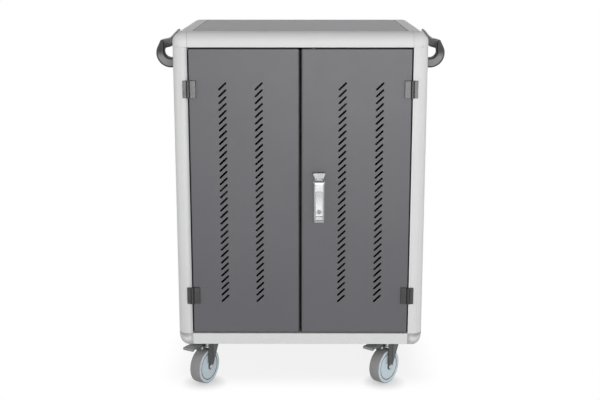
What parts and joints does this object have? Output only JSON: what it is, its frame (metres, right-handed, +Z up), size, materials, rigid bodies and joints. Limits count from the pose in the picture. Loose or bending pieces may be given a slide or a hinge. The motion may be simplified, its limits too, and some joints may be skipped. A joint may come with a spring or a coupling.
{
  "type": "laptop charging cart",
  "caption": "Lockable laptop charging cabinet on swivel casters, with vented double doors, side push handles, divided bays and a rear compartment for adapters.",
  "frame": {"origin": "on the floor under the middle of the whole outline, lock lever and handles included", "axes": "+Z up; +X across the front, to the right of a person who faces the doors; +Y from the front doors to the rear door"},
  "size_m": [0.7792, 0.5856, 1.004],
  "materials": {
    "frame_paint": "satin light grey powder coat",
    "panel_paint": "matte slate grey powder coat on folded sheet",
    "rack_plastic": "matte black moulding",
    "power_plastic": "satin black",
    "switch_plastic": "gloss black",
    "handle_plastic": "matte dark grey",
    "hinge_metal": "satin dark grey",
    "lock_chrome": "satin chrome",
    "zinc_steel": "zinc plated",
    "fork_metal": "satin black",
    "wheel_rubber": "matte grey tread on a pale grey wheel"
  },
  "bodies": {
    "cabinet": {"top_front_rail": "frame_paint", "top_left_rail": "frame_paint", "top_right_rail": "frame_paint", "top_rear_beam": "frame_paint", "bottom_front_rail": "frame_paint", "base_rim": "frame_paint", "top_left_corner": "frame_paint", "top_right_corner": "frame_paint", "bottom_left_corner": "frame_paint", "bottom_right_corner": "frame_paint", "front_left_post": "frame_paint", "front_right_post": "frame_paint", "rear_left_post": "frame_paint", "rear_right_post": "frame_paint", "top_panel": "panel_paint", "floor_panel": "panel_paint", "left_side_panel": "panel_paint", "right_side_panel": "panel_paint", "partition_panel": "panel_paint", "upper_shelf": "panel_paint", "lower_divider_rack": "rack_plastic", "upper_divider_rack": "rack_plastic", "lower_power_strip": "power_plastic", "upper_power_strip": "power_plastic", "power_inlet": "power_plastic", "left_handle": "handle_plastic", "right_handle": "handle_plastic", "left_upper_hinge_frame_leaf": "hinge_metal", "left_lower_hinge_frame_leaf": "hinge_metal", "right_upper_hinge_frame_leaf": "hinge_metal", "right_lower_hinge_frame_leaf": "hinge_metal", "front_left_caster_plate": "zinc_steel", "front_right_caster_plate": "zinc_steel", "rear_left_caster_plate": "zinc_steel", "rear_right_caster_plate": "zinc_steel"},
    "left_door": {"left_door": "panel_paint", "left_upper_hinge_door_leaf": "hinge_metal", "left_lower_hinge_door_leaf": "hinge_metal"},
    "right_door": {"right_door": "panel_paint", "right_upper_hinge_door_leaf": "hinge_metal", "right_lower_hinge_door_leaf": "hinge_metal", "lock_base": "lock_chrome"},
    "lock_spindle": {"lock_spindle": "zinc_steel"},
    "lock_lever": {"lock_lever": "lock_chrome"},
    "lock_key_cylinder": {"lock_key_cylinder": "zinc_steel"},
    "upper_lock_rod": {"upper_lock_rod": "zinc_steel"},
    "lower_lock_rod": {"lower_lock_rod": "zinc_steel"},
    "rear_door": {"rear_door": "panel_paint"},
    "rear_lock": {"rear_lock": "zinc_steel"},
    "rocker_switch": {"rocker_switch": "switch_plastic"},
    "front_left_swivel": {"front_left_caster_fork": "fork_metal"},
    "front_left_wheel": {"front_left_wheel": "wheel_rubber"},
    "front_right_swivel": {"front_right_caster_fork": "fork_metal"},
    "front_right_wheel": {"front_right_wheel": "wheel_rubber"},
    "rear_left_swivel": {"rear_left_caster_fork": "fork_metal"},
    "rear_left_wheel": {"rear_left_wheel": "wheel_rubber"},
    "rear_right_swivel": {"rear_right_caster_fork": "fork_metal"},
    "rear_right_wheel": {"rear_right_wheel": "wheel_rubber"},
    "front_left_brake_pedal": {"front_left_brake_pedal": "fork_metal"},
    "front_right_brake_pedal": {"front_right_brake_pedal": "fork_metal"}
  },
  "joints": [
    {"name": "left_door_hinge", "type": "hinge", "parent": "cabinet", "child": "left_door", "pos_m": [-0.2985, -0.27475, 0.56625], "axis": [0, 0, -1], "range_deg": [0, 120]},
    {"name": "right_door_hinge", "type": "hinge", "parent": "cabinet", "child": "right_door", "pos_m": [0.2985, -0.27475, 0.56625], "axis": [0, 0, 1], "range_deg": [0, 120]},
    {"name": "lever_turn", "type": "hinge", "parent": "right_door", "child": "lock_spindle", "pos_m": [0.05105, -0.27885, 0.60025], "axis": [0, -1, 0], "range_deg": [0, 90]},
    {"name": "lever_lift", "type": "hinge", "parent": "lock_spindle", "child": "lock_lever", "pos_m": [0.05105, -0.28565, 0.60025], "axis": [-1, 0, 0], "range_deg": [0, 40]},
    {"name": "key_turn", "type": "hinge", "parent": "lock_lever", "child": "lock_key_cylinder", "pos_m": [0.05105, -0.29215, 0.52325], "axis": [0, -1, 0], "range_deg": [0, 90]},
    {"name": "upper_rod_slide", "type": "slide", "parent": "right_door", "child": "upper_lock_rod", "axis": [0, 0, -1], "range_m": [0, 0.0165]},
    {"name": "lower_rod_slide", "type": "slide", "parent": "right_door", "child": "lower_lock_rod", "axis": [0, 0, 1], "range_m": [0, 0.0165]},
    {"name": "rear_door_hinge", "type": "hinge", "parent": "cabinet", "child": "rear_door", "pos_m": [-0.29, 0.28245, 0.56625], "axis": [0, 0, 1], "range_deg": [0, 105]},
    {"name": "rear_lock_turn", "type": "hinge", "parent": "rear_door", "child": "rear_lock", "pos_m": [0.274, 0.28845, 0.5665], "axis": [0, -1, 0], "range_deg": [0, 90]},
    {"name": "rocker_tilt", "type": "hinge", "parent": "cabinet", "child": "rocker_switch", "pos_m": [0.337, 0.19945, 0.32], "axis": [0, 1, 0], "range_deg": [0, 16]},
    {"name": "front_left_swivel_turn", "type": "hinge", "parent": "cabinet", "child": "front_left_swivel", "pos_m": [-0.26, -0.18055, 0.13], "axis": [0, 0, 1], "continuous": true},
    {"name": "front_left_wheel_spin", "type": "hinge", "parent": "front_left_swivel", "child": "front_left_wheel", "pos_m": [-0.275, -0.20653, 0.05], "axis": [0.866, -0.5, 0], "continuous": true},
    {"name": "front_left_brake_press", "type": "hinge", "parent": "front_left_swivel", "child": "front_left_brake_pedal", "pos_m": [-0.285, -0.22385, 0.1228], "axis": [0.866, -0.5, 0], "range_deg": [0, 12]},
    {"name": "front_right_swivel_turn", "type": "hinge", "parent": "cabinet", "child": "front_right_swivel", "pos_m": [0.26, -0.18055, 0.13], "axis": [0, 0, 1], "continuous": true},
    {"name": "front_right_wheel_spin", "type": "hinge", "parent": "front_right_swivel", "child": "front_right_wheel", "pos_m": [0.24072, -0.20353, 0.05], "axis": [0.766, -0.6428, 0], "continuous": true},
    {"name": "front_right_brake_press", "type": "hinge", "parent": "front_right_swivel", "child": "front_right_brake_pedal", "pos_m": [0.22786, -0.21885, 0.1228], "axis": [0.766, -0.6428, 0], "range_deg": [0, 12]},
    {"name": "rear_left_swivel_turn", "type": "hinge", "parent": "cabinet", "child": "rear_left_swivel", "pos_m": [-0.26, 0.19945, 0.13], "axis": [0, 0, 1], "continuous": true},
    {"name": "rear_left_wheel_spin", "type": "hinge", "parent": "rear_left_swivel", "child": "rear_left_wheel", "pos_m": [-0.275, 0.17347, 0.05], "axis": [0.866, -0.5, 0], "continuous": true},
    {"name": "rear_right_swivel_turn", "type": "hinge", "parent": "cabinet", "child": "rear_right_swivel", "pos_m": [0.26, 0.19945, 0.13], "axis": [0, 0, 1], "continuous": true},
    {"name": "rear_right_wheel_spin", "type": "hinge", "parent": "rear_right_swivel", "child": "rear_right_wheel", "pos_m": [0.24072, 0.17647, 0.05], "axis": [0.766, -0.6428, 0], "continuous": true}
  ],
  "couplings": [
    {"joint": "upper_rod_slide", "follows": "lever_turn", "m_per_rad": 0.010186},
    {"joint": "lower_rod_slide", "follows": "lever_turn", "m_per_rad": 0.010186}
  ]
}
